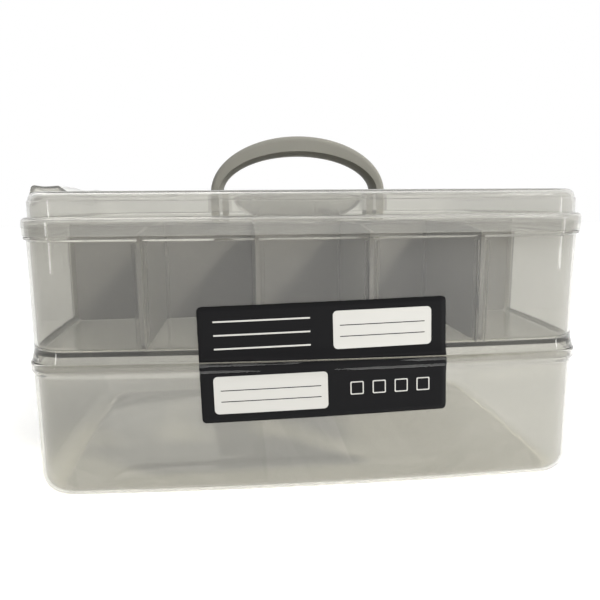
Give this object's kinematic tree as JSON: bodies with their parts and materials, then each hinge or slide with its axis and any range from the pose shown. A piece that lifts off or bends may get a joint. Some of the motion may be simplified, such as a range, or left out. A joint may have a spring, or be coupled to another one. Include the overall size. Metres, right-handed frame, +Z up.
{
  "type": "organizer case",
  "caption": "Clear stacking organizer case: plain lower tray, divided upper tray with lift-out dividers, stepped press-on lid with finger bowl, and a grey arch carrying handle.",
  "frame": {"origin": "middle of the case's footprint, at the level of the table it stands on", "axes": "+X along the length, away from the lid's thumb hold; +Y from the front to the back; +Z up"},
  "size_m": [0.257, 0.179, 0.1656],
  "materials": {
    "clear_plastic": "slightly milky clear polypropylene, satin",
    "clear_lid_plastic": "slightly milky clear polypropylene, satin",
    "divider_grey": "smooth opaque grey polypropylene",
    "handle_grey": "fine satin opaque grey polypropylene"
  },
  "bodies": {
    "base": {"lower_tray": "clear_plastic"},
    "middle": {"upper_tray": "clear_plastic", "centre_divider": "divider_grey", "cross_divider_front_1": "divider_grey", "cross_divider_front_2": "divider_grey", "cross_divider_front_3": "divider_grey", "cross_divider_front_4": "divider_grey", "cross_divider_back_1": "divider_grey", "cross_divider_back_2": "divider_grey", "cross_divider_back_3": "divider_grey", "cross_divider_back_4": "divider_grey"},
    "lid": {"lid": "clear_lid_plastic", "handle": "handle_grey"}
  },
  "joints": [
    {"name": "upper_tray_lift", "type": "slide", "parent": "base", "child": "middle", "axis": [0, 0, 1], "range_m": [0, 0.12]},
    {"name": "lid_lift", "type": "slide", "parent": "middle", "child": "lid", "axis": [0, 0, 1], "range_m": [0, 0.12]}
  ]
}
